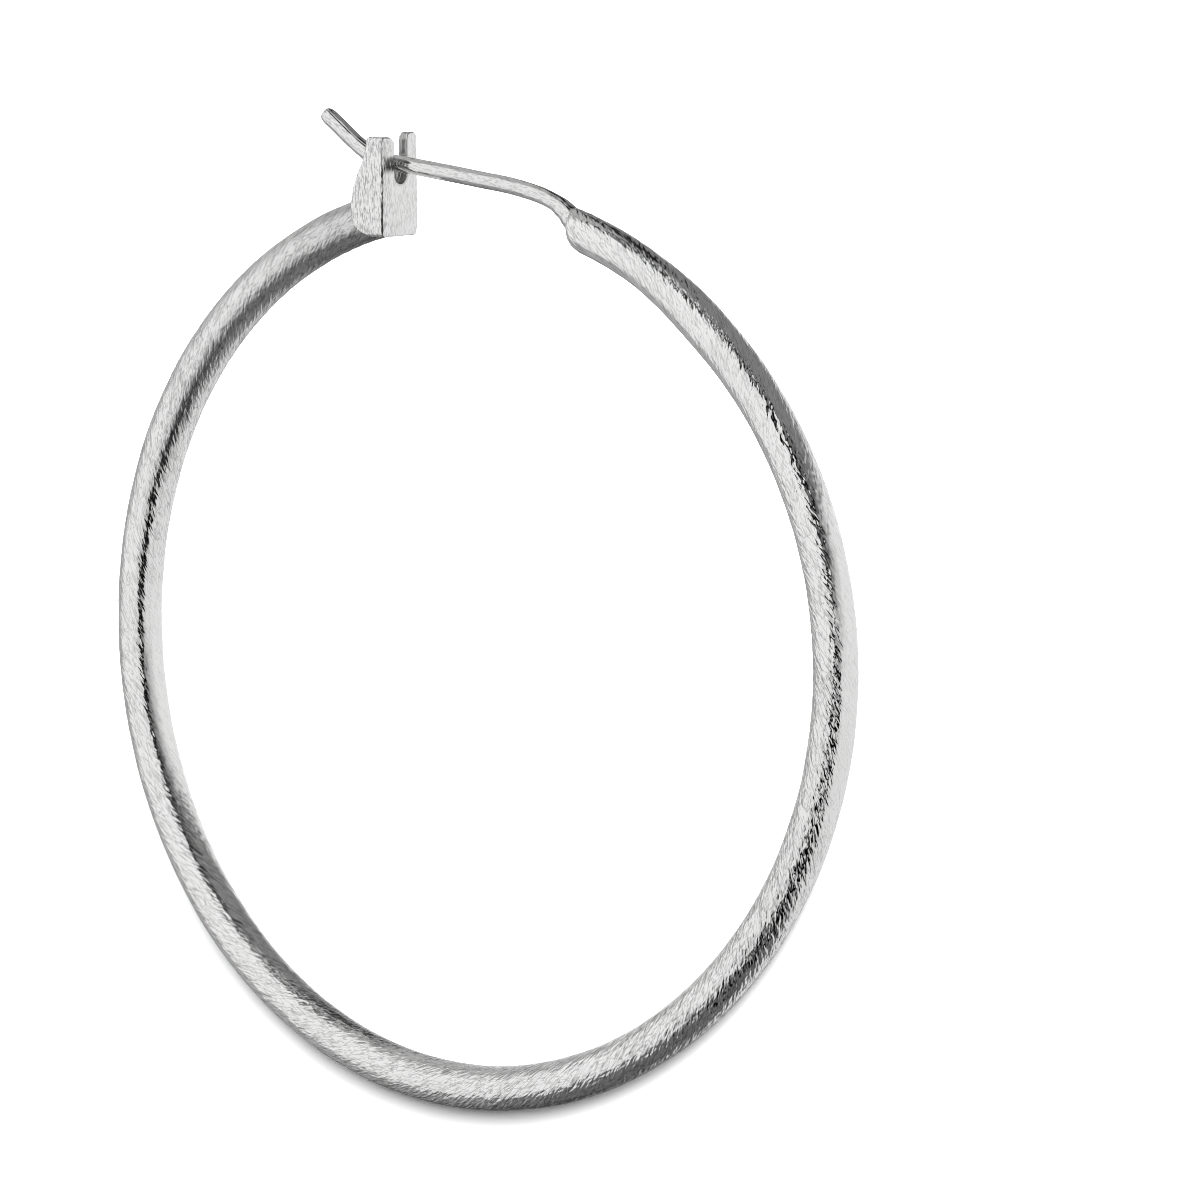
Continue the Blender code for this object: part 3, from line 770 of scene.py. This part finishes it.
def floor_light(name, energy, spread, lean):
    """A soft light for the floor alone, from the camera's side and leaning up from there, so
    that the shadow falls towards the bottom of the picture."""
    lamp = bpy.data.lights.new(name, "SUN")
    lamp.energy = energy
    lamp.angle = math.radians(spread)
    thing = bpy.data.objects.new(name, lamp)
    way = CAMERA_BACK * math.cos(math.radians(lean)) + CAMERA_UP * math.sin(math.radians(lean))
    thing.rotation_euler = way.to_track_quat("Z", "Y").to_euler()
    thing.visible_glossy = False
    bpy.context.scene.collection.objects.link(thing)


# The studio lights only the metal, whose reflections it makes, and the lamps only the floor
world.cycles_visibility.diffuse = False
floor_light("soft_dome", *SOFT_DOME)
floor_light("soft_key", *SOFT_KEY)
bpy.context.scene.cycles.filter_width = 1.0
bpy.context.scene.view_settings.view_transform = "Standard"


# Camera
# A long lens well back from the earring, looking down on it, with a lamp at its side
# that lights the upper part of the floor.
CAMERA_DISTANCE = 584.05 * MM
LENS = 362.74
AIM_RIGHT, AIM_UP = 5.905 * MM, 2.282 * MM
FRONT_LAMP_POWER = 60.0
FRONT_LAMP_ANGLE = 8.0
FRONT_LAMP_BLEND = 0.55
FRONT_LAMP_SIZE = 2 * MM
FRONT_LAMP_RISE = 66.0 * MM

camera_data = bpy.data.cameras.new("camera")
camera_data.lens = LENS
camera_data.sensor_width = 36.0
camera_data.clip_start = 0.05
camera_data.clip_end = 20.0
camera = bpy.data.objects.new("camera", camera_data)
bpy.context.scene.collection.objects.link(camera)
stand = Vector(HOOP_MIDDLE) + CAMERA_BACK * CAMERA_DISTANCE
aim = Vector(HOOP_MIDDLE) + CAMERA_RIGHT * AIM_RIGHT + CAMERA_UP * AIM_UP
back = (stand - aim).normalized()
across_view = CAMERA_UP.cross(back).normalized()
camera.matrix_world = Matrix.Translation(stand) @ Matrix(
    (across_view, back.cross(across_view), back)).transposed().to_4x4()
bpy.context.scene.camera = camera

lamp_data = bpy.data.lights.new("front_lamp", "SPOT")
lamp_data.energy = FRONT_LAMP_POWER
lamp_data.spot_size = math.radians(2 * FRONT_LAMP_ANGLE)
lamp_data.spot_blend = FRONT_LAMP_BLEND
lamp_data.shadow_soft_size = FRONT_LAMP_SIZE
front_lamp = bpy.data.objects.new("front_lamp", lamp_data)
lit = Vector(HOOP_MIDDLE) + CAMERA_UP * FRONT_LAMP_RISE
front_lamp.rotation_euler = (stand - lit).to_track_quat("Z", "Y").to_euler()
front_lamp.location = stand
front_lamp.visible_glossy = False
bpy.context.scene.collection.objects.link(front_lamp)
